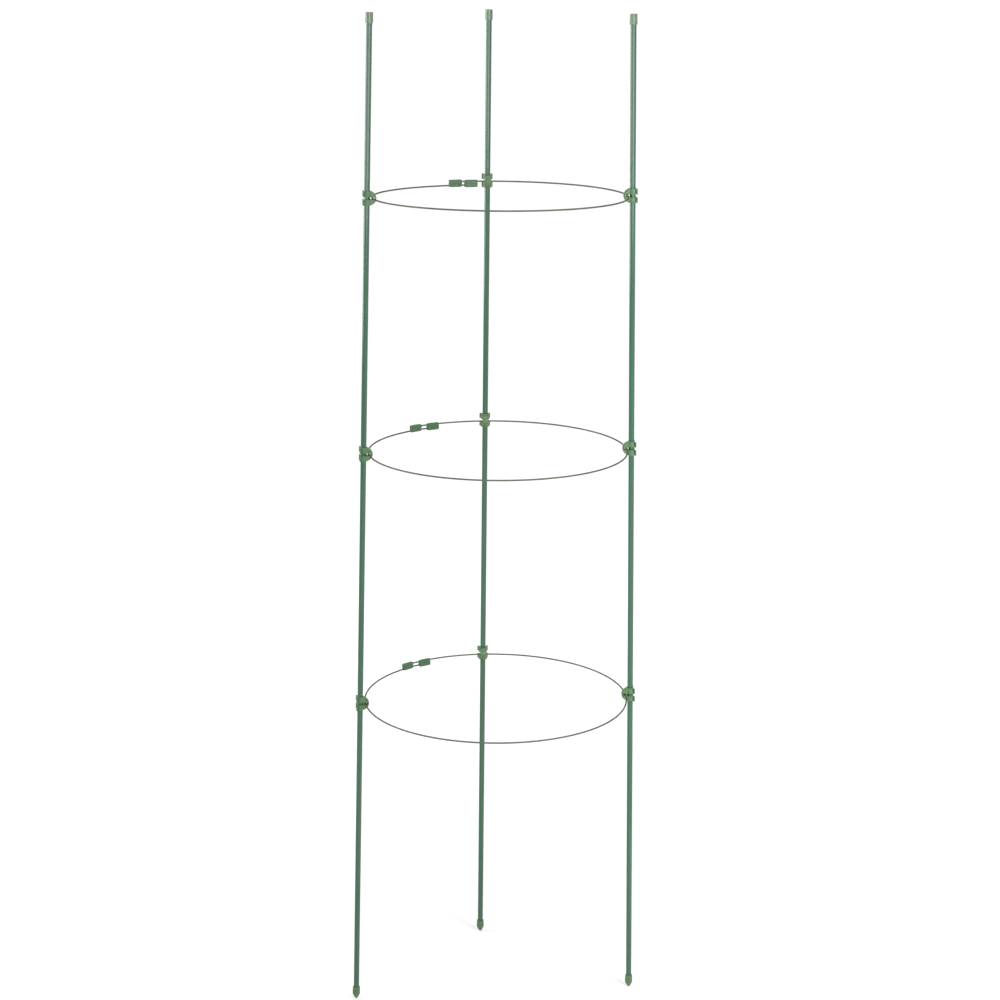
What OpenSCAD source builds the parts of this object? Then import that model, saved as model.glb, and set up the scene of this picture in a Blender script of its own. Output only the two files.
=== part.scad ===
// Tomato cage: three coated steel stakes, three adjustable wire rings and nine spring clips.
// Millimetres, +Z up. The floor is at zero and the cage is centred over the origin.

/* [Stakes] */
// Length of a stake from the point of its tip to the top of its cap
stake_len = 1500; // [1200:10:1800]
// Outer diameter of a coated stake
stake_d = 8.5; // [7:0.5:11]
// Thickness of the plastic coat
coat_t = 0.4; // [0.3:0.05:0.6]
// Wall of the steel tube under the coat
tube_t = 0.5; // [0.3:0.05:1]
// Distance of each stake's foot from the middle of the cage
foot_r = 215; // [190:1:260]
// Lean of the stakes from upright, so that the feet stand wider than the tops
splay = 1.1; // [0.5:0.1:1.5]
// Direction of the left stake from the middle of the cage
left_angle = 188; // [180:1:200]
// Direction of the back stake from the middle of the cage
back_angle = 96; // [85:1:98]
// Direction of the right stake from the middle of the cage
right_angle = 5; // [-15:1:15]

/* [End pieces] */
// Height of the cap on the top of a stake
cap_len = 15; // [12:0.5:20]
// Height of the tip on the foot of a stake
tip_len = 20; // [18:0.5:26]
// Wall of the caps and tips around the stake
end_wall = 1.4; // [1.2:0.1:2]

/* [Rings] */
// Height of the top ring as a share of a stake's length
top_ring_share = 0.829; // [0.76:0.001:0.88]
// Height of the middle ring as a share of a stake's length
middle_ring_share = 0.581; // [0.53:0.001:0.63]
// Height of the bottom ring as a share of a stake's length
bottom_ring_share = 0.325; // [0.2:0.001:0.38]
// Diameter of the ring wire
wire_d = 2.4; // [2:0.1:3]
// How far a ring slides up or down from its place
ring_travel = 100; // [20:5:100]

/* [Adjusters] */
// Length of an adjuster along the wire
adjuster_len = 20; // [16:0.5:26]
// Thickness of an adjuster across the wire
adjuster_t = 6.4; // [5.6:0.1:8]
// Height between the two lapped strands of the wire
strand_gap = 5.5; // [4.6:0.1:7]
// Room between the top ring's two adjusters
top_gap = 4.5; // [2:0.5:20]
// Room between the middle ring's two adjusters
middle_gap = 12; // [2:0.5:20]
// Room between the bottom ring's two adjusters
bottom_gap = 13.5; // [2:0.5:20]
// Direction of the lap in the top ring's wire
top_lap_angle = 108; // [108:1:140]
// Direction of the lap in the middle ring's wire
middle_lap_angle = 127; // [110:1:140]
// Direction of the lap in the bottom ring's wire
bottom_lap_angle = 130; // [110:1:140]

/* [Clips] */
// Height of a clip along its stake
clip_h = 20.5; // [20:0.5:26]
// Wall of the clip's jaws around the stake
clip_wall = 2.4; // [1.8:0.1:3]
// Thickness of the clip's head along the wire
head_t = 9; // [8:0.5:12]
// Gap between the clip's upper and lower jaws
jaw_gap = 4; // [3.6:0.1:5]
// Length of the flared lips at the mouth of the jaws
lip_len = 3.8; // [3:0.1:5]

/* [Hidden] */
$fn = 64;
// Smoothness of a ring's wire along its length
hoop_fn = 240;
// How far a cut runs past the face it opens
overrun = 1;

// Clearances: between pressed pieces, between a clip and its stake, round the wire in an adjuster's
// bores, and round the wire in a clip's slit
press_gap = 0.02;
slide_gap = 0.05;
bore_gap = 0.15;
wire_gap = 0.4;

// Stake
stake_r = stake_d / 2;
tube_r = stake_r - coat_t - press_gap;
tube_bore_r = tube_r - tube_t;
socket_r = stake_r + press_gap;
tip_point_r = 0.7;
foot_z = tip_point_r * sin(splay);

// Cap: a slightly tapered cup with a bevelled top edge
cap_inset = 0.1;
cap_taper = 0.2;
cap_base_r = socket_r + end_wall - cap_inset;
cap_top_r = cap_base_r - cap_taper;
cap_roof = 2;
cap_edge = 0.6;

// Tip: a two-slope nose below a barrel, with a narrower collar round its mouth
tip_bulge = 0.1;
tip_r = socket_r + end_wall + tip_bulge;
nose_len = 8.4;
nose_bend_share = 0.84;
nose_bend_r_share = 0.9;
nose_low_share = 0.4;
nose_low_r_share = 0.6;
collar_inset = 0.2;
collar_r = socket_r + end_wall - collar_inset;
collar_len = 3;
collar_step = 0.4;
socket_z = 9;

// Clip: bore for the stake, slit for the wire, and the room that lets the wire stay level as it slides
bore_r = stake_r + slide_gap;
jaw_r = bore_r + clip_wall;
wire_r = wire_d / 2;
wire_play = ring_travel * tan(splay) + wire_gap;
slit_h = wire_d + 2 * wire_gap;
slit_reach = bore_r + wire_d + 2 * wire_play;
head_wall = 2.1;
head_reach = slit_reach + head_wall;
head_r = clip_h / 2;
head_centre = head_reach - head_r;
head_root_share = 0.65;
head_root = bore_r * head_root_share;
ridge_share = 0.55;
rim_step = 0.9;
mouth_share = 0.78;
mouth_w = stake_d * mouth_share;
lip_t = 1.8;
lip_flare = 60;
lip_root_y = (mouth_w + lip_t) / 2;
lip_root_x = sqrt(pow(bore_r + clip_wall / 2, 2) - pow(lip_root_y, 2));
wire_off = bore_r + wire_play + wire_r;

// Adjuster: a large barrel on the wire's end and a slim guide on the strand that slides through
barrel_h = 6.2;
barrel_corner = 1.4;
guide_wall = 1.3;
guide_r = wire_r + guide_wall;
end_step = 0.6;
end_len = 1.2;
end_stop = 2.5;

// Seam in the middle of the wire's length, where its two half turns meet
seam_bead = 0.05;
seam_r = wire_r + seam_bead;
seam_room = 0.1;

SIDES = ["left", "back", "right"];
RINGS = ["top", "middle", "bottom"];
side_angles = [left_angle, back_angle, right_angle];
ring_shares = [top_ring_share, middle_ring_share, bottom_ring_share];
lap_angles = [top_lap_angle, middle_lap_angle, bottom_lap_angle];
lap_gaps = [top_gap, middle_gap, bottom_gap];

// Height of a ring's middle above the floor
function ring_z(ring) = stake_len * ring_shares[ring];

// Distance of a stake's axis from the middle of the cage at a height
function axis_r(z) = foot_r - (z - foot_z) * tan(splay);

// Radius of a ring's wire, a fixed distance inside the stakes
function hoop_r(ring) = axis_r(ring_z(ring)) - wire_off * cos(splay);

// Turn about the middle of the cage that covers a length along a ring's wire
function turn_of(ring, length) = length / hoop_r(ring) * 180 / PI;

// Turn from the middle of the lap to the end of a strand, which stops short of its adjuster's far face
function lap_turn(ring) = turn_of(ring, lap_gaps[ring] / 2 + adjuster_len - end_stop);

// Lean of each half turn of the wire, which lifts one strand over the other at the lap
function strand_lean(ring) = asin(strand_gap / 4 / hoop_r(ring));

// Height of a ring's wire above the ring's middle, at a direction from the middle of the cage
function wire_rise(ring, angle) =
    let (turn = angle - lap_angles[ring], upper = turn < 0 ? 1 : -1)
    upper * strand_gap / 4 * (1 + cos(turn));

// Distance of a clip's middle from the foot of its stake, along the stake
function clip_s(ring, side) =
    (ring_z(ring) + wire_rise(ring, side_angles[side]) + wire_off * sin(splay) - foot_z) / cos(splay);

// Middle of the cage, set so that the cage's outer box is centred over the origin
middle_x = -foot_r * (cos(left_angle) + cos(right_angle)) / 2;
middle_y = (hoop_r(2) + wire_r - foot_r * sin(back_angle) - tip_r) / 2;

// Outline of the cap, from its mouth up
cap_outline = [
    [socket_r, 0],
    [cap_base_r, 0],
    [cap_top_r, cap_len - cap_edge],
    [cap_top_r - cap_edge, cap_len],
    [0, cap_len],
    [0, cap_len - cap_roof],
    [socket_r, cap_len - cap_roof],
];

// Outline of the tip, from its point up
tip_outline = [
    [0, 0],
    [tip_point_r, 0],
    [tip_r * nose_low_r_share, nose_len * nose_low_share],
    [tip_r * nose_bend_r_share, nose_len * nose_bend_share],
    [tip_r, nose_len],
    [tip_r, tip_len - collar_len - collar_step],
    [collar_r, tip_len - collar_len],
    [collar_r, tip_len - collar_step],
    [collar_r - collar_step, tip_len],
    [socket_r, tip_len],
    [socket_r, socket_z],
    [0, socket_z],
];

// Places its children along a stake: their Z runs up the stake and their X points away from the cage
module on_stake(side, along = 0) {
    translate([middle_x, middle_y, 0])
        rotate([0, 0, side_angles[side]])
            translate([foot_r, 0, foot_z])
                rotate([0, -splay, 0])
                    translate([0, 0, along])
                        children();
}

// Places its children at a ring: their X points from its middle to the lap in its wire
module on_ring(ring) {
    translate([middle_x, middle_y, ring_z(ring)])
        rotate([0, 0, lap_angles[ring]])
            children();
}

module pipe(outer_r, inner_r, length) {
    difference() {
        cylinder(r = outer_r, h = length);
        translate([0, 0, -overrun])
            cylinder(r = inner_r, h = length + 2 * overrun);
    }
}

// Steel tube that carries a stake
module tube(side) {
    color("silver")
        on_stake(side, socket_z)
            pipe(tube_r, tube_bore_r, stake_len - cap_roof - socket_z);
}

// Plastic coat over the tube
module coat(side) {
    color("seagreen")
        on_stake(side, socket_z)
            pipe(stake_r, tube_r + press_gap, stake_len - cap_roof - socket_z);
}

// Cap pressed over the top of a stake
module cap(side) {
    color("darkseagreen")
        on_stake(side, stake_len - cap_len)
            rotate_extrude()
                polygon(cap_outline);
}

// Pointed tip pressed over the foot of a stake
module tip(side) {
    color("olivedrab")
        on_stake(side)
            rotate_extrude()
                polygon(tip_outline);
}

// One half turn of a ring's wire, on the upper side of the lap or, with upper = -1, on its lower side
module strand(ring, upper, d, first, last) {
    translate([0, 0, upper * strand_gap / 4])
        rotate([0, -upper * strand_lean(ring), 0])
            rotate([0, 0, first])
                rotate_extrude(angle = last - first, $fn = hoop_fn)
                    translate([hoop_r(ring), 0])
                        circle(d = d);
}

// Ring wire: two leaning half turns that meet at a seam and lap one over the other at the adjusters
module hoop_wire(ring) {
    half_turn = 180 - turn_of(ring, seam_room);
    color("darkgray")
        on_ring(ring) {
            strand(ring, 1, wire_d, -half_turn, lap_turn(ring));
            strand(ring, -1, wire_d, -lap_turn(ring), half_turn);
            translate([-hoop_r(ring) * cos(strand_lean(ring)), 0, 0])
                sphere(r = seam_r);
        }
}

// Rectangle with round corners, centred on a height
module rounded_rect(width, height, corner, mid) {
    translate([0, mid]) {
        square([width - 2 * corner, height], center = true);
        square([width, height - 2 * corner], center = true);
        for (x = [-1, 1], y = [-1, 1])
            translate([x * (width / 2 - corner), y * (height / 2 - corner)])
                circle(r = corner);
    }
}

// Cross-section of an adjuster: barrel at the top, guide at the bottom, drawn smaller by an inset
module adjuster_section(inset) {
    rounded_rect(adjuster_t - 2 * inset, barrel_h - 2 * inset, barrel_corner - inset, strand_gap / 2);
    translate([0, -strand_gap / 2])
        circle(r = guide_r - inset);
    translate([0, -strand_gap / 4])
        square([2 * (guide_r - inset), strand_gap / 2], center = true);
}

// Moulded adjuster: the end of one strand is fixed in its barrel, and the other strand slides in its guide
module adjuster(ring, upper) {
    centre_turn = upper * turn_of(ring, (lap_gaps[ring] + adjuster_len) / 2);
    reach = upper * lap_turn(ring);
    past = upper * turn_of(ring, lap_gaps[ring] / 2 + adjuster_len + overrun);
    color("darkgreen")
        on_ring(ring)
            difference() {
                rotate([0, 0, centre_turn])
                    translate([hoop_r(ring), 0, 0])
                        mirror([0, 0, upper > 0 ? 0 : 1])
                            rotate([90, 0, 0]) {
                                linear_extrude(adjuster_len - 2 * end_len, center = true)
                                    adjuster_section(0);
                                linear_extrude(adjuster_len, center = true)
                                    adjuster_section(end_step);
                            }
                strand(ring, upper, wire_d + 2 * bore_gap, min(0, reach), max(0, reach));
                strand(ring, -upper, wire_d + 2 * bore_gap, min(0, past), max(0, past));
            }
}

// Plan of the clip's jaws: an open ring with a flared lip on each side of its mouth
module jaw_plan() {
    difference() {
        union() {
            circle(r = jaw_r);
            for (y = [-1, 1])
                translate([lip_root_x, y * lip_root_y])
                    rotate(y * lip_flare) {
                        translate([0, -lip_t / 2])
                            square([lip_len, lip_t]);
                        translate([lip_len, 0])
                            circle(d = lip_t);
                    }
        }
        translate([0, -mouth_w / 2])
            square([jaw_r + lip_len, mouth_w]);
    }
}

// Side view of the clip's head: a round nose on the inner side of the stake
module head_side(inset) {
    intersection() {
        union() {
            translate([-head_centre, 0])
                circle(r = head_r - inset);
            translate([-head_centre, -head_r + inset])
                square([abs(head_centre), clip_h - 2 * inset]);
        }
        translate([-head_reach - overrun, -clip_h])
            square([head_reach + overrun - head_root, 2 * clip_h]);
    }
}

// Spring clip: two jaws grip the stake, and the head that joins them has a slit for the ring wire
module clip(ring, side) {
    color("forestgreen")
        on_stake(side, clip_s(ring, side))
            difference() {
                union() {
                    difference() {
                        linear_extrude(clip_h, center = true)
                            jaw_plan();
                        cube([2 * (jaw_r + lip_len), 2 * (jaw_r + lip_len), jaw_gap], center = true);
                    }
                    rotate([90, 0, 0]) {
                        linear_extrude(head_t * ridge_share, center = true)
                            head_side(0);
                        linear_extrude(head_t, center = true)
                            head_side(rim_step);
                    }
                }
                cylinder(r = bore_r, h = clip_h + 2 * overrun, center = true);
                translate([-slit_reach + slit_h / 2, -head_t, -slit_h / 2])
                    cube([slit_reach, 2 * head_t, slit_h]);
                translate([-slit_reach + slit_h / 2, 0, 0])
                    rotate([90, 0, 0])
                        cylinder(d = slit_h, h = 2 * head_t, center = true);
            }
}

for (side = [0 : 2]) {
    tube(side);
    coat(side);
    cap(side);
    tip(side);
}
for (ring = [0 : 2]) {
    hoop_wire(ring);
    adjuster(ring, 1);
    adjuster(ring, -1);
    for (side = [0 : 2])
        clip(ring, side);
}
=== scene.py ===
"""Looks of a tomato cage: coated stakes with caps and tips, ring wires, adjusters and spring clips.

Shapes are worked out in millimetres, as the solids are, and put into the frame in metres.
"""

import bmesh
import bpy
import numpy as np
from mathutils import Matrix


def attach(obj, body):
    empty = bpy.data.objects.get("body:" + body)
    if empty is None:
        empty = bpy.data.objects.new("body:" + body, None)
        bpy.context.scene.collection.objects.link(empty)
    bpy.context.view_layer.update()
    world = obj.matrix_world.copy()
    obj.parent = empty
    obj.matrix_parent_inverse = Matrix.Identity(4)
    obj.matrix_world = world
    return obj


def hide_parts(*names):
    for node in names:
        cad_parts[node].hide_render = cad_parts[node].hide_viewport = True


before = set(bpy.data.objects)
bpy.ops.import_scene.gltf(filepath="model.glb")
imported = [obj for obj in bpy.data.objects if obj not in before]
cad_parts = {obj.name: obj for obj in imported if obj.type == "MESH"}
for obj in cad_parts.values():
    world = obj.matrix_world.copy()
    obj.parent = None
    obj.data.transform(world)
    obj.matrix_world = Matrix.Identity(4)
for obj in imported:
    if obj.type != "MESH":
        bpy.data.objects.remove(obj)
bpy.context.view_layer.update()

MM = 0.001

# Directions of the stakes, heights of the rings as shares of a stake's length, and each ring's lap:
# its direction and the room between its two adjusters
SIDES = {"left": 188, "back": 96, "right": 5}
RINGS = {"top": 0.829, "middle": 0.581, "bottom": 0.325}
LAP_ANGLES = {"top": 108, "middle": 127, "bottom": 130}
LAP_GAPS = {"top": 4.5, "middle": 12, "bottom": 13.5}

# Stakes
STAKE_LEN, STAKE_R, COAT_T = 1500, 4.25, 0.39
FOOT_R, SPLAY = 215, 1.1
LEAN = np.radians(SPLAY)

# Caps and tips
PRESS_GAP, SOCKET_Z = 0.02, 9
SOCKET_R = STAKE_R + PRESS_GAP
CAP_LEN, CAP_ROOF, CAP_FOOT_WALL, CAP_TOP_WALL = 15, 2, 1.3, 1.1
CAP_FOOT_R, CAP_TOP_R = SOCKET_R + CAP_FOOT_WALL, SOCKET_R + CAP_TOP_WALL
DIMPLE_R, DIMPLE_FLOOR_R, DIMPLE_DEPTH = 1.3, 1.1, 0.25
TIP_LEN, TIP_WALL, COLLAR_LEN, COLLAR_WALL = 20, 1.5, 3.2, 1.2
TIP_R, COLLAR_R = SOCKET_R + TIP_WALL, SOCKET_R + COLLAR_WALL
POINT_R, NOSE_R, CHEEK_R = 0.7, 0.6 * TIP_R, 0.9 * TIP_R
NOSE_Z, CHEEK_Z, SHOULDER_Z = 3.36, 7.06, 8.6
FOOT_Z = POINT_R * np.sin(LEAN)

# Ring wires, drawn a little thinner than their solids, and their adjusters
SOLID_WIRE_R, WIRE_R, STRAND_GAP = 1.2, 1.18, 5.5
ADJUSTER_LEN, ADJUSTER_HALF_T, GUIDE_R, END_STOP = 20, 3.2, 2.5, 2.5
BARREL_TOP, BARREL_FOOT, GUIDE_FOOT = 5.85, -0.35, -5.25
NECK_HALF_H, BORE_R, BORE_OVERRUN = 0.3, 1.35, 1

# Clips: the jaws, the play of the wire as a ring slides, the slit and the head
CLIP_H, JAW_GAP, JAW_WALL, LIP_T, LIP_LEN, LIP_FLARE = 20.5, 4, 2.4, 1.8, 3.8, 60
SLIDE_GAP, MOUTH_SHARE, BEND_R = 0.05, 0.78, 1.25
CLIP_BORE_R = STAKE_R + SLIDE_GAP
JAW_R = CLIP_BORE_R + JAW_WALL / 2
TRAVEL, WIRE_GAP, SLIT_GAP = 100, 0.4, 0.12
WIRE_PLAY = TRAVEL * np.tan(LEAN) + WIRE_GAP
WIRE_OFF = CLIP_BORE_R + WIRE_PLAY + SOLID_WIRE_R
SLIT_HALF = WIRE_R + SLIT_GAP
SLIT_REACH = CLIP_BORE_R + 2 * SOLID_WIRE_R + 2 * WIRE_PLAY
HEAD_R, HEAD_HALF_T, HEAD_WALL, ROOT_DEPTH = CLIP_H / 2, 4.5, 2.1, 0.25
HEAD_CENTRE = SLIT_REACH + HEAD_WALL - HEAD_R
HEAD_ROOT = CLIP_BORE_R + ROOT_DEPTH

# Distances from a corner at which its rounding starts
COAT_EDGE, SOCKET_EDGE, MOUTH_EDGE = 0.1, 0.2, 0.15
CAP_FOOT_EDGE, CAP_TOP_EDGE, DIMPLE_EDGE, DIMPLE_FLOOR_EDGE = 0.4, 1.1, 0.15, 0.1
POINT_EDGE, NOSE_EDGE, CHEEK_EDGE, SHOULDER_EDGE = 0.3, 1.2, 0.5, 0.7
COLLAR_STEP_EDGE, COLLAR_EDGE = 0.14, 0.45
BARREL_EDGE, NECK_EDGE, GUIDE_EDGE, JAW_EDGE = 1.6, 0.4, 2.2, 0.55

# Numbers of points in a corner's rounding
CORNER_POINTS, COAT_CORNER_POINTS = 7, 3
# Round a turned piece and a wire, and along half a ring and a bore
TURN_POINTS, WIRE_POINTS, HALF_RING_POINTS, BORE_POINTS = 64, 20, 260, 40
# In a clip: round a jaw, its bend and its lip's end, and along the head's nose, slit and straight sides
JAW_POINTS, BEND_POINTS, LIP_END_POINTS = 30, 10, 7
NOSE_POINTS, SLIT_POINTS, STRAIGHT_POINTS = 72, 18, 4

# Points nearer than this share of a mesh's size are one
WELD_SHARE = 1e-7
# Faces that turn by less than the first angle are made one, and those past the second meet sharply
FLAT_ANGLE, CREASE_ANGLE = np.radians(0.4), np.radians(38)


def hoop_r(ring):
    """Radius of a ring's wire: the stakes' distance at that height, less the wire's place inside them."""
    return FOOT_R - (STAKE_LEN * RINGS[ring] - FOOT_Z) * np.tan(LEAN) - WIRE_OFF * np.cos(LEAN)


# Where the rings' middle lies when the whole cage is centred over the origin
SIDE_TURNS = {side: np.radians(angle) for side, angle in SIDES.items()}
MIDDLE = (
    -FOOT_R * (np.cos(SIDE_TURNS["left"]) + np.cos(SIDE_TURNS["right"])) / 2,
    (hoop_r("bottom") + SOLID_WIRE_R - FOOT_R * np.sin(SIDE_TURNS["back"]) - TIP_R) / 2,
)


# Places

def shift(x, y, z):
    """A move, as a four by four matrix with the move in its last column."""
    place = np.eye(4)
    place[:3, 3] = x, y, z
    return place


def spin(axis, degrees):
    """A turn about Y or Z, as a four by four matrix: the cosine of the angle on the diagonal of the
    two axes that turn, and less and plus its sine off it."""
    c, s = np.cos(np.radians(degrees)), np.sin(np.radians(degrees))
    i, j = {"y": (2, 0), "z": (0, 1)}[axis]
    place = np.eye(4)
    place[i, i] = place[j, j] = c
    place[i, j], place[j, i] = -s, s
    return place


def on_stake(side, along):
    """Place a distance along a stake: X points away from the cage and Z runs up the stake."""
    foot = shift(*MIDDLE, 0) @ spin("z", SIDES[side]) @ shift(FOOT_R, 0, FOOT_Z)
    return foot @ spin("y", -SPLAY) @ shift(0, 0, along)


def on_ring(ring):
    """Place at a ring's middle: X points to the lap in its wire."""
    return shift(*MIDDLE, STAKE_LEN * RINGS[ring]) @ spin("z", LAP_ANGLES[ring])


def turn_of(ring, length):
    """Degrees about the ring's middle that cover a length of its wire: the length over the radius."""
    return np.degrees(length / hoop_r(ring))


def clip_along(ring, side):
    """A clip's place along its stake, at the height that the leaning wire has there: the ring's height,
    plus or less a quarter of the strands' gap times one plus the cosine of the turn from the lap."""
    turn = SIDES[side] - LAP_ANGLES[ring]
    rise = (1 if turn < 0 else -1) * STRAND_GAP / 4 * (1 + np.cos(np.radians(turn)))
    return (STAKE_LEN * RINGS[ring] + rise + WIRE_OFF * np.sin(LEAN) - FOOT_Z) / np.cos(LEAN)


def put(points, place):
    """Points put in a place: turned by its matrix, then moved by its last column."""
    return points @ place[:3, :3].T + place[:3, 3]


# Surfaces

def softened(corners, points=CORNER_POINTS):
    """A closed outline with rounded corners, each given as x, y and the distance from it at which
    its rounding starts. A rounding is a parabola from one cut point to the other: (1 - t)^2 of
    the first cut point plus 2 t (1 - t) of the corner plus t^2 of the second."""
    corners = np.asarray(corners, float)
    corners, cuts = corners[:, :2], corners[:, 2:]
    back, ahead = np.roll(corners, 1, 0) - corners, np.roll(corners, -1, 0) - corners
    first = corners + back / np.linalg.norm(back, axis=1, keepdims=True) * cuts
    last = corners + ahead / np.linalg.norm(ahead, axis=1, keepdims=True) * cuts
    t = np.linspace(0, 1, points)[None, :, None]
    curve = (1 - t) ** 2 * first[:, None] + 2 * t * (1 - t) * corners[:, None] + t**2 * last[:, None]
    return curve.reshape(-1, 2)


def circle(radius):
    """An anticlockwise circle of points for a wire or a bore: radius times the cosine and the sine."""
    a = np.linspace(0, 2 * np.pi, WIRE_POINTS, endpoint=False)
    return radius * np.stack([np.cos(a), np.sin(a)], -1)


def inset(outline, depth):
    """An anticlockwise outline moved inwards along its normals by a depth."""
    along = np.roll(outline, -1, 0) - np.roll(outline, 1, 0)
    normal = np.stack([along[:, 1], -along[:, 0]], -1)
    normal /= np.linalg.norm(normal, axis=1, keepdims=True)
    return outline - normal * depth


def turned(profile, points=TURN_POINTS):
    """A profile of radius and height carried round Z: x = r cos a, y = r sin a, z = height."""
    a = np.linspace(0, 2 * np.pi, points, endpoint=False)[None, :]
    r, z = profile[:, :1], profile[:, 1:]
    return np.stack([r * np.cos(a), r * np.sin(a), np.broadcast_to(z, (len(profile), points))], -1)


def stacked(outlines, levels):
    """Outlines in X and Z, one for each level of Y."""
    y = np.broadcast_to(levels[:, None], outlines.shape[:2])
    return np.stack([outlines[..., 0], y, outlines[..., 1]], -1)


def mirrored(steps, half):
    """Steps from a piece's end to its middle, and on to its other end: their levels, which are half
    the piece's length less the distance from its end, and the rest of each step."""
    levels = half - steps[:, 0]
    return np.concatenate([levels, -levels[::-1]]), np.concatenate([steps, steps[::-1]])[:, 1:]


def carried(path, outline):
    """An outline carried along a path round the ring's middle: path + a side + b rise,
    where side points away from the middle, and rise is the path's direction crossed with side."""
    along = np.gradient(path, axis=0)
    along /= np.linalg.norm(along, axis=1, keepdims=True)
    side = path * [1, 1, 0]
    side -= along * np.sum(side * along, 1, keepdims=True)
    side /= np.linalg.norm(side, axis=1, keepdims=True)
    rise = np.cross(along, side)
    return path[:, None] + outline[None, :, :1] * side[:, None] + outline[None, :, 1:] * rise[:, None]


def strand(ring, upper, first, last, points):
    """Centre line of one half turn of a ring's wire: a circle that leans, so that its height is
    a quarter of the strands' gap times one plus the cosine of the turn from the lap, up or down."""
    t = np.radians(np.linspace(first, last, points))
    lean = np.arcsin(STRAND_GAP / 4 / hoop_r(ring))
    x, y = hoop_r(ring) * np.cos(t), hoop_r(ring) * np.sin(t)
    return np.stack([x * np.cos(lean), y, upper * (STRAND_GAP / 4 + x * np.sin(lean))], -1)


def skin(grid, closed=False, ends=False):
    """Points and faces of a grid whose columns close into a loop: each face joins two neighbours in a row
    to the same two in the next row. closed joins the last row to the first, and ends fills both."""
    rows, columns = grid.shape[:2]
    r = np.arange(rows if closed else rows - 1)[:, None]
    c = np.arange(columns)[None, :]
    r2, c2 = (r + 1) % rows, (c + 1) % columns
    corners = [r * columns + c, r * columns + c2, r2 * columns + c2, r2 * columns + c]
    faces = np.stack(corners, -1).reshape(-1, 4).tolist()
    if ends:
        faces.append(list(range(columns))[::-1])
        faces.append(list(range((rows - 1) * columns, rows * columns)))
    return grid.reshape(-1, 3), faces


def skin_uv(grid, closed, ends):
    """The grid's own map, in millimetres: the way round its middle row, and the way along its first
    column. Ends that are filled lie at the map's origin."""
    rows, columns = grid.shape[:2]
    loop = np.roll(grid[rows // 2], -1, 0) - grid[rows // 2]
    u = np.concatenate([[0], np.cumsum(np.linalg.norm(loop, axis=1))])
    step = (np.roll(grid[:, 0], -1, 0) - grid[:, 0])[: rows if closed else rows - 1]
    v = np.concatenate([[0], np.cumsum(np.linalg.norm(step, axis=1))])
    u1, v1 = np.meshgrid(u[:-1], v[:-1])
    u2, v2 = np.meshgrid(u[1:], v[1:])
    uv = np.stack([u1, v1, u2, v1, u2, v2, u1, v2], -1).reshape(-1, 2)
    return np.concatenate([uv, np.zeros((2 * columns, 2))]) if ends else uv


def mesh_of(name, points, faces, uv=None):
    """A welded mesh of points and faces, with the map of its corners where there is one."""
    mesh = bpy.data.meshes.new(name)
    mesh.from_pydata(points.tolist(), [], faces)
    if uv is not None:
        mesh.uv_layers.new(name="UVMap").data.foreach_set("uv", uv.astype(np.float32).ravel())
    work = bmesh.new()
    work.from_mesh(mesh)
    nearest = np.ptp(points, axis=0).max() * WELD_SHARE
    bmesh.ops.remove_doubles(work, verts=work.verts, dist=nearest)
    bmesh.ops.dissolve_degenerate(work, edges=work.edges, dist=nearest)
    work.to_mesh(mesh)
    work.free()
    return mesh


def placed_mesh(name, grid, place, closed=False, ends=False):
    """A mesh of a grid, with the grid's own map, put in a place and turned to metres."""
    points, faces = skin(grid, closed, ends)
    return mesh_of(name, put(points, place) * MM, faces, skin_uv(grid, closed, ends))


def combined(name, first, others, operation):
    """One closed mesh from several: the others are added to the first, or cut from it."""
    base, *tools = [bpy.data.objects.new(m.name, m) for m in [first, *others]]
    for each in [base, *tools]:
        bpy.context.scene.collection.objects.link(each)
    for tool in tools:
        step = base.modifiers.new(tool.name, "BOOLEAN")
        step.operation, step.solver, step.object = operation, "MANIFOLD", tool
    mesh = bpy.data.meshes.new_from_object(base.evaluated_get(bpy.context.evaluated_depsgraph_get()))
    mesh.name = name
    for each in [base, *tools]:
        bpy.data.objects.remove(each)
    work = bmesh.new()
    work.from_mesh(mesh)
    bmesh.ops.dissolve_limit(work, angle_limit=FLAT_ANGLE, verts=work.verts, edges=work.edges)
    work.to_mesh(mesh)
    work.free()
    return mesh


def moved(mesh, name, place):
    """A copy of a mesh in millimetres, put in a place and turned to metres."""
    copy = mesh.copy()
    copy.name = name
    points = np.empty(len(copy.vertices) * 3)
    copy.vertices.foreach_get("co", points)
    copy.vertices.foreach_set("co", (put(points.reshape(-1, 3), place) * MM).ravel())
    copy.update()
    return copy


def add_piece(name, mesh, finish, body, node):
    """A finished piece that rides on a body and stands for a solid."""
    mesh.materials.clear()
    mesh.materials.append(finish)
    mesh.shade_smooth()
    mesh.set_sharp_from_angle(angle=CREASE_ANGLE)
    piece = bpy.data.objects.new(name, mesh)
    bpy.context.scene.collection.objects.link(piece)
    piece.modifiers.new("flat_sides", "WEIGHTED_NORMAL").keep_sharp = True
    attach(piece, body)
    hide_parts(node)


# Materials

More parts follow.
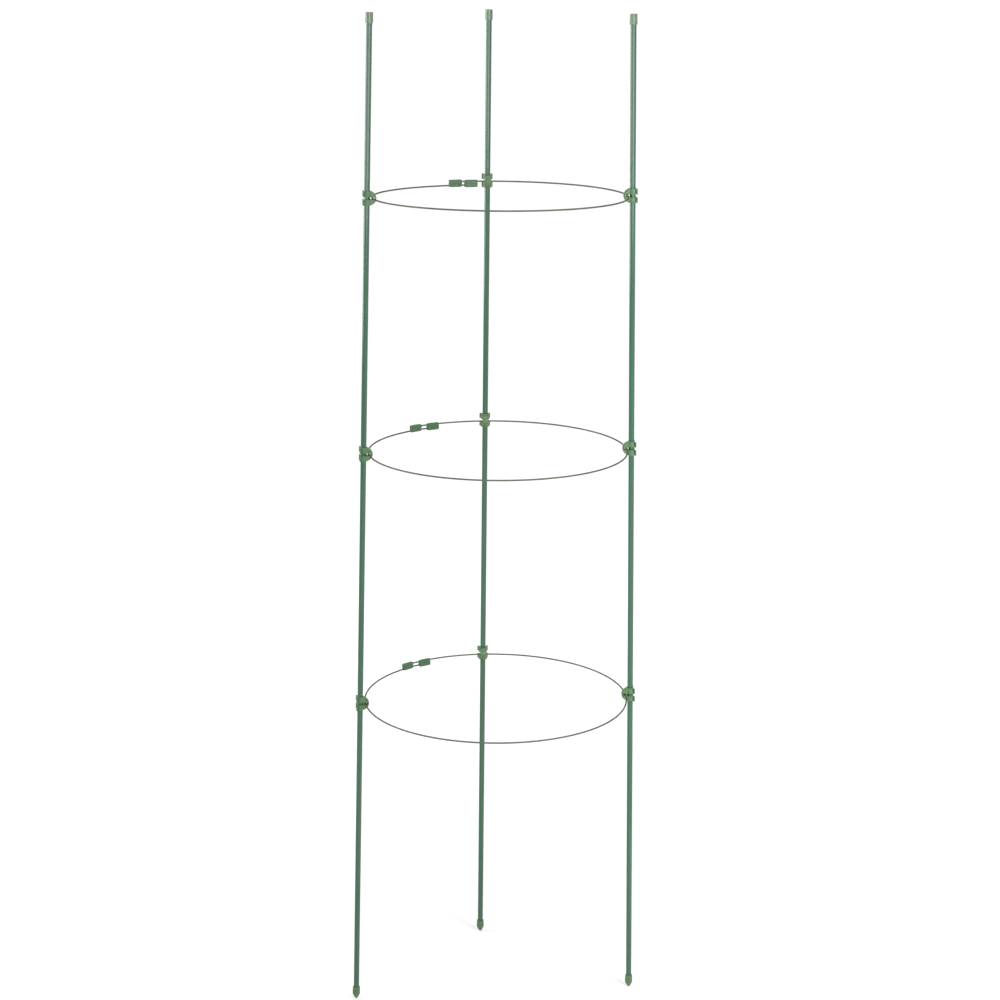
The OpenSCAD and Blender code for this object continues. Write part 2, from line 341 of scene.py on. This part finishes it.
class Field:
    """A shader socket that takes part in sums: each operator adds one Math node."""

    def __init__(self, tree, socket):
        self.tree, self.socket = tree, socket

    def math(self, operation, *values, clamp=False):
        """A Math node of a named operation on fields and numbers."""
        node = self.tree.nodes.new("ShaderNodeMath")
        node.operation, node.use_clamp = operation, clamp
        for slot, value in zip(node.inputs, values):
            feed(self.tree, slot, value)
        return Field(self.tree, node.outputs[0])

    def __add__(self, other):
        return self.math("ADD", self, other)

    def __radd__(self, other):
        return self.math("ADD", other, self)

    def __sub__(self, other):
        return self.math("SUBTRACT", self, other)

    def __rsub__(self, other):
        return self.math("SUBTRACT", other, self)

    def __mul__(self, other):
        return self.math("MULTIPLY", self, other)

    def __rmul__(self, other):
        return self.math("MULTIPLY", other, self)

    def ramp(self, low, high):
        """Nought below low, one above high, and a straight line between."""
        return self.math("MULTIPLY", self - low, 1 / (high - low), clamp=True)


def feed(tree, slot, value):
    """Links a field to a socket, or sets the socket's own value."""
    if isinstance(value, Field):
        tree.links.new(value.socket, slot)
    else:
        slot.default_value = value


class Shading:
    """A node tree under construction."""

    def __init__(self, tree):
        self.tree = tree

    def node(self, kind, settings=(), output=None, **inputs):
        """Any node: its settings are set first, then the values or links of its sockets. It gives its
        first output, or the one that is named."""
        node = self.tree.nodes.new(kind)
        for key, value in dict(settings).items():
            setattr(node, key, value)
        sockets = {s.identifier: s for s in node.inputs}
        for key, value in inputs.items():
            feed(self.tree, sockets[key], value)
        outlets = {s.identifier: s for s in node.outputs}
        return Field(self.tree, outlets[output] if output else node.outputs[0])

    def mix(self, share, first, second):
        """A colour between two, by a share."""
        return self.node("ShaderNodeMix", {"data_type": "RGBA"}, output="Result_Color",
                         Factor_Float=share, A_Color=first, B_Color=second)

    def seen_directly(self):
        """One for rays from the camera, straight, in gloss or through glass, and nought for the rest:
        the greatest of the three."""
        names = ("Is Camera Ray", "Is Glossy Ray", "Is Transmission Ray")
        camera, gloss, through = (self.node("ShaderNodeLightPath", output=name) for name in names)
        return camera.math("MAXIMUM", camera, camera.math("MAXIMUM", gloss, through))


class Finish(Shading):
    """A material under construction."""

    def __init__(self, name):
        self.material = bpy.data.materials.new(name)
        self.material.use_nodes = True
        super().__init__(self.material.node_tree)
        self.shader = self.tree.nodes["Principled BSDF"]

    def place(self, scale, source="Object"):
        """Object coordinates, or the piece's own map, stretched by a scale for each axis."""
        if source == "UV":
            spot = self.node("ShaderNodeUVMap", {"uv_map": "UVMap"})
        else:
            spot = self.node("ShaderNodeTexCoord", output="Object")
        return self.node("ShaderNodeMapping", Vector=spot, Scale=scale)

    def noise(self, scale, source="Object", detail=3.0, rough=0.55):
        """Noise about one half, with a scale for each axis."""
        return self.node("ShaderNodeTexNoise", Vector=self.place(scale, source), Scale=1.0,
                         Detail=detail, Roughness=rough)

    def bump(self, height, strength, depth):
        """Normal of a surface that a height field roughens, to a depth in metres."""
        return self.node("ShaderNodeBump", Height=height, Strength=strength, Distance=depth)

    def edges(self, radius):
        """Nought on flat ground and nearly one on an edge: one less the dot product of a bevelled normal
        with the true one, drawn out from nought to one."""
        bevel = self.node("ShaderNodeBevel", {"samples": 4}, Radius=radius)
        flat = self.node("ShaderNodeNewGeometry", output="Normal")
        agree = self.node("ShaderNodeVectorMath", {"operation": "DOT_PRODUCT"}, output="Value",
                          Vector=bevel, Vector_001=flat)
        return (1.0 - agree).ramp(0.02, 0.22)

    def done(self, **inputs):
        """Sets or links the shader's own sockets, named with spaces as underscores."""
        for key, value in inputs.items():
            feed(self.tree, self.shader.inputs[key.replace("_", " ")], value)
        return self.material


def tone(r, g, b):
    """A colour as seen on a screen, nought to 255, turned to linear light by the screen's own curve:
    a straight line for the darkest values and a power of 2.4 for the rest."""
    c = np.array([r, g, b]) / 255
    linear = np.where(c <= 0.04045, c / 12.92, ((c + 0.055) / 1.055) ** 2.4)
    return (*linear.tolist(), 1.0)


def grey(light):
    """A grey of linear light: the same in all three colours."""
    return (light, light, light, 1)


def coat_finish():
    """Glossy drawn plastic over the tube: long faint streaks, die lines and a few dull scuffs."""
    f = Finish("stake_coat_green")
    streak = f.noise((0.5, 0.004, 1), "UV", detail=4).ramp(0.3, 0.7)
    cloud = f.noise((0.08, 0.02, 1), "UV").ramp(0.3, 0.7)
    lines = f.noise((5.0, 0.002, 1), "UV", detail=2)
    scuff = f.noise((0.45, 0.02, 1), "UV", detail=6, rough=0.7).ramp(0.66, 0.8)
    body = f.mix(streak * 0.7 + cloud * 0.3, tone(40, 85, 60), tone(49, 94, 69))
    return f.done(
        Base_Color=f.mix(scuff * 0.2, body, tone(104, 140, 120)),
        Roughness=0.1 + 0.04 * cloud + 0.15 * scuff,
        Normal=f.bump(lines, strength=0.05, depth=0.00003),
        IOR=1.57,
    )


def moulded_finish(name, dark, light, pale_fleck_and_highlight, roughness, grit=0.06, ior=1.46):
    """Moulded plastic: faint clouds and flecks, a fine eggshell grain, and every edge painted paler: a
    painted highlight along the edges, together with rubbed wear.
    """
    f = Finish(name)
    cloud = f.noise((180, 180, 180), detail=4).ramp(0.3, 0.7)
    fleck = f.noise((1500, 1500, 1500), detail=2).ramp(0.62, 0.74)
    grain = f.noise((3600, 3600, 3600), detail=2)
    edge = f.edges(radius=0.0005)
    body = f.mix(fleck * 0.06, f.mix(cloud, dark, light), pale_fleck_and_highlight)
    return f.done(
        # edges painted toward the pale colour: a painted highlight on every edge, together with rubbed wear
        Base_Color=f.mix(edge * 0.6, body, pale_fleck_and_highlight),
        Roughness=roughness + 0.08 * cloud - 0.06 * edge,
        Normal=f.bump(grain + cloud * 0.5, strength=grit, depth=0.00004),
        IOR=ior,
    )


def wire_finish():
    """Drawn galvanised wire: grey zinc with an olive cast, dull patches, pale flecks and fine drawn lines."""
    f = Finish("ring_wire_zinc")
    patch = f.noise((0.35, 0.06, 1), "UV", detail=5, rough=0.6).ramp(0.35, 0.68)
    drawn = f.noise((5.0, 0.05, 1), "UV", detail=3)
    fleck = f.noise((1.2, 0.8, 1), "UV", detail=2).ramp(0.6, 0.7)
    body = f.mix(patch, tone(100, 107, 91), tone(82, 89, 74))
    return f.done(
        Base_Color=f.mix(fleck * 0.3, body, tone(138, 141, 126)),
        Metallic=0.45 + 0.25 * patch,
        Roughness=0.38 + 0.16 * patch,
        Normal=f.bump(drawn + fleck * 0.3, strength=0.3, depth=0.00005),
        Specular_IOR_Level=0.2,
        Specular_Tint=tone(110, 116, 104),
    )


def steel_finish():
    """Drawn steel of the tube under the coat, with fine lengthwise lines."""
    f = Finish("tube_steel")
    lines = f.noise((1400, 1400, 6), detail=2)
    return f.done(
        Base_Color=f.mix(lines, tone(150, 152, 154), tone(182, 184, 186)),
        Metallic=1.0,
        Roughness=0.3 + 0.2 * lines,
    )


coat_green = coat_finish()
# each moulded finish's pale colour serves its pale flecks and its painted edge highlight
cap_green = moulded_finish(
    "cap_green", dark=tone(86, 110, 80), light=tone(97, 121, 91), pale_fleck_and_highlight=tone(148, 168, 138),
    roughness=0.08, grit=0.02, ior=1.58,
)
tip_green = moulded_finish(
    "tip_green", dark=tone(74, 104, 69), light=tone(84, 114, 78), pale_fleck_and_highlight=tone(126, 148, 116),
    roughness=0.34,
)
clip_green = moulded_finish(
    "clip_green", dark=tone(74, 106, 70), light=tone(84, 116, 79), pale_fleck_and_highlight=tone(136, 162, 126),
    roughness=0.26,
)
adjuster_green = moulded_finish(
    "adjuster_green", dark=tone(54, 88, 55), light=tone(62, 96, 63), pale_fleck_and_highlight=tone(104, 138, 100),
    roughness=0.24,
)
wire_zinc = wire_finish()
tube_steel = steel_finish()


# Stakes

coat_profile = softened([
    (STAKE_R, SOCKET_Z, COAT_EDGE),
    (STAKE_R, STAKE_LEN - CAP_ROOF, COAT_EDGE),
    (STAKE_R - COAT_T, STAKE_LEN - CAP_ROOF, COAT_EDGE),
    (STAKE_R - COAT_T, SOCKET_Z, COAT_EDGE),
], COAT_CORNER_POINTS)
cap_profile = softened([
    (0, CAP_LEN - CAP_ROOF, 0),
    (SOCKET_R, CAP_LEN - CAP_ROOF, SOCKET_EDGE),
    (SOCKET_R, 0, MOUTH_EDGE),
    (CAP_FOOT_R, 0, CAP_FOOT_EDGE),
    (CAP_TOP_R, CAP_LEN, CAP_TOP_EDGE),
    (DIMPLE_R, CAP_LEN, DIMPLE_EDGE),
    (DIMPLE_FLOOR_R, CAP_LEN - DIMPLE_DEPTH, DIMPLE_FLOOR_EDGE),
    (0, CAP_LEN - DIMPLE_DEPTH, 0),
])
tip_profile = softened([
    (0, 0, 0),
    (POINT_R, 0, POINT_EDGE),
    (NOSE_R, NOSE_Z, NOSE_EDGE),
    (CHEEK_R, CHEEK_Z, CHEEK_EDGE),
    (TIP_R, SHOULDER_Z, SHOULDER_EDGE),
    (TIP_R, TIP_LEN - COLLAR_LEN, COLLAR_STEP_EDGE),
    (COLLAR_R, TIP_LEN - COLLAR_LEN, COLLAR_STEP_EDGE),
    (COLLAR_R, TIP_LEN, COLLAR_EDGE),
    (SOCKET_R, TIP_LEN, MOUTH_EDGE),
    (SOCKET_R, SOCKET_Z, SOCKET_EDGE),
    (0, SOCKET_Z, 0),
])

# By solid: the piece that stands for it, its profile, finish and slot, and its place along the stake
STAKE_PARTS = {
    "coat": ("stake_coat", coat_profile, coat_green, "stake_coat", 0),
    "cap": ("top_cap", cap_profile, cap_green, "cap_plastic", STAKE_LEN - CAP_LEN),
    "tip": ("ground_tip", tip_profile, tip_green, "tip_plastic", 0),
}

for side in SIDES:
    for part, (noun, profile, finish, slot, along) in STAKE_PARTS.items():
        name = f"{side}_{noun}"
        mesh = placed_mesh(name, turned(profile), on_stake(side, along), closed=part == "coat")
        add_piece(name, mesh, finish, "stakes", f"{side}_{part}")
    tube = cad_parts[f"{side}_tube"]
    tube.data.materials.clear()
    tube.data.materials.append(tube_steel)


# Ring wires and adjusters

# Cross-section of an adjuster: a block round the wire's end, and a slim guide for the other strand
adjuster_outline = softened([
    (ADJUSTER_HALF_T, BARREL_TOP, BARREL_EDGE),
    (-ADJUSTER_HALF_T, BARREL_TOP, BARREL_EDGE),
    (-ADJUSTER_HALF_T, BARREL_FOOT + NECK_HALF_H, NECK_EDGE),
    (-GUIDE_R, BARREL_FOOT - NECK_HALF_H, NECK_EDGE),
    (-GUIDE_R, GUIDE_FOOT, GUIDE_EDGE),
    (GUIDE_R, GUIDE_FOOT, GUIDE_EDGE),
    (GUIDE_R, BARREL_FOOT - NECK_HALF_H, NECK_EDGE),
    (ADJUSTER_HALF_T, BARREL_FOOT + NECK_HALF_H, NECK_EDGE),
])
# Half an adjuster: distance from its end, and how far its section is drawn in there
ADJUSTER_STEPS = np.array([
    (0.0, 1.0), (0.07, 0.78), (0.25, 0.64), (0.5, 0.6), (1.1, 0.58),
    (1.18, 0.45), (1.24, 0.22), (1.38, 0.06), (1.7, 0.0), (7.0, 0.0),
])


def adjuster_grid():
    """An adjuster: its cross-section stacked along its length, drawn in by the steps at both ends."""
    levels, depths = mirrored(ADJUSTER_STEPS, ADJUSTER_LEN / 2)
    return stacked(np.stack([inset(adjuster_outline, depth) for depth in depths]), levels)


def wire_bore(ring, upper, turn):
    """A bore along a strand, from the middle of the lap to a turn from it: a circle carried along."""
    path = strand(ring, upper, min(0, turn), max(0, turn), BORE_POINTS)
    return mesh_of("adjuster_bore", *skin(carried(path, circle(BORE_R)), ends=True))


adjuster_points, adjuster_faces = skin(adjuster_grid(), ends=True)

for ring in RINGS:
    lap = turn_of(ring, LAP_GAPS[ring] / 2 + ADJUSTER_LEN - END_STOP)
    lower_half = strand(ring, -1, -lap, 180, HALF_RING_POINTS)
    upper_half = strand(ring, 1, -180, lap, HALF_RING_POINTS)
    grid = carried(np.concatenate([lower_half, upper_half[1:]]), circle(WIRE_R))
    name = f"{ring}_ring_wire"
    mesh = placed_mesh(name, grid, on_ring(ring), ends=True)
    add_piece(name, mesh, wire_zinc, f"{ring}_ring", f"{ring}_hoop_wire")

    for end, upper in {"upper": 1, "lower": -1}.items():
        centre = upper * turn_of(ring, (LAP_GAPS[ring] + ADJUSTER_LEN) / 2)
        past = upper * turn_of(ring, LAP_GAPS[ring] / 2 + ADJUSTER_LEN + BORE_OVERRUN)
        here = spin("z", centre) @ shift(hoop_r(ring), 0, 0) @ spin("y", 0 if upper > 0 else 180)
        block = mesh_of("adjuster_block", put(adjuster_points, here), adjuster_faces)
        bores = [wire_bore(ring, upper, upper * lap), wire_bore(ring, -upper, past)]
        name = f"{ring}_{end}_sleeve"
        mesh = moved(combined("adjuster", block, bores, "DIFFERENCE"), name, on_ring(ring))
        add_piece(name, mesh, adjuster_green, f"{ring}_ring", f"{ring}_{end}_adjuster")


# Clips

def jaw_half():
    """Half the plan of a jaw, from its back to the end of its lip, with the wall's thickness at each
    point: an arc round the stake, a tight bend the other way at the mouth, a straight lip and a round
    end. The bend's circle touches the arc's circle from outside, and it touches the lip's line."""
    flare = np.radians(LIP_FLARE)
    lip_way = np.array([np.cos(flare), np.sin(flare)])
    root_y = STAKE_R * MOUTH_SHARE + LIP_T / 2
    root = np.array([np.sqrt(JAW_R**2 - root_y**2), root_y])
    lip_miss = root[0] * lip_way[1] - root[1] * lip_way[0]
    mouth = np.arccos((lip_miss - BEND_R) / (JAW_R + BEND_R)) + flare - np.pi / 2
    arc = np.linspace(np.pi, mouth, JAW_POINTS, endpoint=False)
    arc_path = JAW_R * np.stack([np.cos(arc), np.sin(arc)], -1)
    bend = np.linspace(mouth + np.pi, flare + 1.5 * np.pi, BEND_POINTS)
    bend_centre = (JAW_R + BEND_R) * np.array([np.cos(mouth), np.sin(mouth)])
    bend_path = bend_centre + BEND_R * np.stack([np.cos(bend), np.sin(bend)], -1)
    lip = LIP_LEN - (bend_path[-1] - root) @ lip_way
    lip_shares = np.array([0.5, 0.95])
    round_end = np.linspace(0, np.pi / 2, LIP_END_POINTS)[1:]
    reach = np.concatenate([lip_shares * lip, lip + LIP_T / 2 * np.sin(round_end)])
    path = np.concatenate([arc_path, bend_path, bend_path[-1] + reach[:, None] * lip_way])
    thick = np.concatenate([
        np.full(len(arc), JAW_WALL),
        np.linspace(JAW_WALL, LIP_T, len(bend)),
        np.full(len(lip_shares), LIP_T),
        LIP_T * np.cos(round_end),
    ])
    return path, thick


def jaw_grid(middle):
    """A jaw at a height: a rounded upright strip carried along the plan and its mirror image,
    with its width across the plan stretched to the wall's thickness."""
    half, thick = jaw_half()
    path = np.concatenate([half[:0:-1] * [1, -1], half])
    thick = np.concatenate([thick[:0:-1], thick])
    along = np.gradient(path, axis=0)
    along /= np.linalg.norm(along, axis=1, keepdims=True)
    left = np.stack([-along[:, 1], along[:, 0]], -1)
    x, z = JAW_WALL / 2, (CLIP_H - JAW_GAP) / 4
    strip = softened([(x, z, JAW_EDGE), (-x, z, JAW_EDGE), (-x, -z, JAW_EDGE), (x, -z, JAW_EDGE)])
    across = strip[None, :, 0] / JAW_WALL * thick[:, None]
    flat = path[:, None] + across[..., None] * left[:, None]
    upright = np.broadcast_to(strip[None, :, 1] + middle, across.shape)
    return np.concatenate([flat, upright[..., None]], -1)


def head_outline(rim, edge):
    """Outline of the clip's head in X and Z: an arc for the nose, less a rim's depth, straight sides,
    and a slit that ends in half a circle. edge draws nose and slit in, for the rounding at the sides."""
    nose_r, slit_half = HEAD_R - rim - edge, SLIT_HALF + edge
    start = np.arccos((HEAD_CENTRE - HEAD_ROOT) / nose_r)
    nose = np.linspace(start, 2 * np.pi - start, NOSE_POINTS)
    slit = np.linspace(1.5 * np.pi, 0.5 * np.pi, SLIT_POINTS)
    slit_x = SLIT_HALF - SLIT_REACH
    outer = np.stack([nose_r * np.cos(nose) - HEAD_CENTRE, nose_r * np.sin(nose)], -1)
    root_z = np.linspace(outer[-1, 1], -slit_half, STRAIGHT_POINTS + 1)[1:]
    root = np.stack([np.full(STRAIGHT_POINTS, -HEAD_ROOT), root_z], -1)
    side_x = np.linspace(-HEAD_ROOT, slit_x, STRAIGHT_POINTS + 2)[1:-1]
    side = np.stack([side_x, np.full(STRAIGHT_POINTS, -slit_half)], -1)
    end = np.stack([slit_x + slit_half * np.cos(slit), slit_half * np.sin(slit)], -1)
    return np.concatenate([outer, root, side, end, side[::-1] * [1, -1], root[::-1] * [1, -1]])


# Half a clip's head: distance from its side, depth of the rim below the ridge there, and how far
# the rounding of its edge draws it in
HEAD_STEPS = np.array([
    (0.0, 0.9, 0.42), (0.07, 0.9, 0.2), (0.22, 0.9, 0.06), (0.5, 0.9, 0.0),
    (1.88, 0.9, 0.0), (1.98, 0.84, 0.0), (2.01, 0.66, 0.0), (2.04, 0.3, 0.0),
    (2.12, 0.1, 0.0), (2.35, 0.0, 0.0), (3.7, 0.0, 0.0),
])


def head_grid():
    """The clip's head: its outline stacked through its thickness. A raised ridge runs round the middle,
    and the rim on each side is lower."""
    levels, depths = mirrored(HEAD_STEPS, HEAD_HALF_T)
    return stacked(np.stack([head_outline(rim, edge) for rim, edge in depths]), levels)


jaw_middle = (CLIP_H + JAW_GAP) / 4
jaws = [mesh_of("clip_jaw", *skin(jaw_grid(z))) for z in (jaw_middle, -jaw_middle)]
head = mesh_of("clip_head", *skin(head_grid(), ends=True))
clip_shape = combined("clip_shape", head, jaws, "UNION")

for ring in RINGS:
    for side in SIDES:
        name = f"{ring}_{side}_spring_clip"
        mesh = moved(clip_shape, name, on_stake(side, clip_along(ring, side)))
        add_piece(name, mesh, clip_green, f"{ring}_{side}_clip", f"{ring}_{side}_clip")


# Floor, light and camera: metres, watts and degrees, with the camera's sensor in millimetres

FLOOR_DROP, FLOOR_INNER_R, FLOOR_OUTER_R = 0.0002, 0.5, 90
FLOOR_RINGS, FLOOR_POINTS = 24, 72
SENSOR_W = 36


def make_world(soft_light):
    """White where it is seen, and an even soft light on the object."""
    world = bpy.data.worlds.new("studio")
    bpy.context.scene.world = world
    world.use_nodes = True
    sky = Shading(world.node_tree)
    shade = sky.mix(sky.seen_directly(), grey(soft_light), grey(1))
    feed(sky.tree, sky.tree.nodes["Background"].inputs["Color"], shade)


def make_floor(albedo, near_glow, far_glow, near, far):
    """A wide pale disc just under the cage that takes the shadow: rings whose radii grow by one factor.
    Where it is seen it glows: near_glow within the near distance, far_glow beyond the far one,
    and a straight line between."""
    radii = np.concatenate([[0], np.geomspace(FLOOR_INNER_R, FLOOR_OUTER_R, FLOOR_RINGS)])
    profile = np.stack([radii, np.full(len(radii), -FLOOR_DROP)], -1)
    mesh = mesh_of("floor", *skin(turned(profile[::-1], FLOOR_POINTS)))
    f = Finish("floor_white")
    reach = f.node("ShaderNodeVectorMath", {"operation": "LENGTH"}, output="Value",
                   Vector=f.place((1, 1, 1)))
    shine = f.seen_directly() * (near_glow + (far_glow - near_glow) * reach.ramp(near, far))
    mesh.materials.append(f.done(
        Base_Color=grey(albedo),
        Roughness=1.0,
        Specular_IOR_Level=0.0,
        Emission_Color=f.mix(shine, grey(0), grey(1)),
        Emission_Strength=1.0,
    ))
    floor = bpy.data.objects.new("floor", mesh)
    bpy.context.scene.collection.objects.link(floor)


def pose_matrix(right, up, back, spot):
    """A matrix from three axes and a place, as its columns."""
    return Matrix(np.vstack([np.stack([right, up, back, spot], 1), [0, 0, 0, 1]]).tolist())


def add_softbox(name, spot, aim, size, power, glossy=True, spread=180):
    """A soft rectangular lamp that faces a point, and may show in gloss. Its back is the way from the
    point to the lamp, its right is Z crossed with its back, and its up is back crossed with right."""
    lamp = bpy.data.lights.new(name, "AREA")
    lamp.shape, lamp.energy, lamp.spread = "RECTANGLE", power, np.radians(spread)
    lamp.size, lamp.size_y = size
    holder = bpy.data.objects.new(name, lamp)
    holder.visible_camera, holder.visible_glossy = False, glossy
    back = np.subtract(spot, aim) / np.linalg.norm(np.subtract(spot, aim))
    right = np.cross((0, 0, 1), back)
    right /= np.linalg.norm(right)
    holder.matrix_world = pose_matrix(right, np.cross(back, right), back, spot)
    bpy.context.scene.collection.objects.link(holder)


def add_camera(spot, tilt, roll, focal_pixels, image_pixels):
    """The photograph's camera: it looks along +Y, tilted down and then rolled. Its lens is the sensor's
    width times the focal length in pixels over the picture's width in pixels."""
    tilt, roll = np.radians(tilt), np.radians(roll)
    ahead = np.array([0, np.cos(tilt), -np.sin(tilt)])
    right = np.cos(roll) * np.array([1, 0, 0]) + np.sin(roll) * np.array([0, np.sin(tilt), np.cos(tilt)])
    lens = bpy.data.cameras.new("photo_camera")
    lens.sensor_width = SENSOR_W
    lens.lens = SENSOR_W * focal_pixels / image_pixels
    camera = bpy.data.objects.new("photo_camera", lens)
    camera.matrix_world = pose_matrix(right, np.cross(right, ahead), -ahead, spot)
    bpy.context.scene.collection.objects.link(camera)
    bpy.context.scene.camera = camera


make_world(soft_light=0.16)
make_floor(albedo=0.6, near_glow=0.4, far_glow=0.93, near=0.2, far=2.4)
add_softbox("left_panel", spot=(-2.2, 0.2, 1.4), aim=(0, 0.2, 1.4), size=(1.6, 1.4), power=36)
add_softbox("front_left_panel", spot=(-1.45, -1.95, 1.5), aim=(0, 0, 1.5), size=(1.0, 1.0), power=8)
add_softbox("front_panel", spot=(0.3, -3.5, 1.22), aim=(0, 0, 1.22), size=(1.8, 0.95), power=26)
add_softbox("front_strip", spot=(1.03, -1.59, 1.5), aim=(0, 0, 1.5), size=(0.7, 1.1), power=8)
add_softbox("right_fill", spot=(0.6, -0.5, 0.75), aim=(0, 0, 0.75), size=(0.3, 1.5), power=9, glossy=False)
add_softbox("top_panel", spot=(-0.1, -0.5, 3.2), aim=(0, 0, 1.2), size=(1.6, 1.6), power=20)
add_softbox("back_panel", spot=(0.5, 2.9, 1.2), aim=(0, 0, 1.0), size=(2.4, 1.8), power=24,
            glossy=False, spread=60)
add_camera(spot=(0.00306, -3.1129, 1.5803), tilt=14.2, roll=0.547, focal_pixels=2160, image_pixels=1000)
bpy.context.scene.view_settings.view_transform = "Standard"
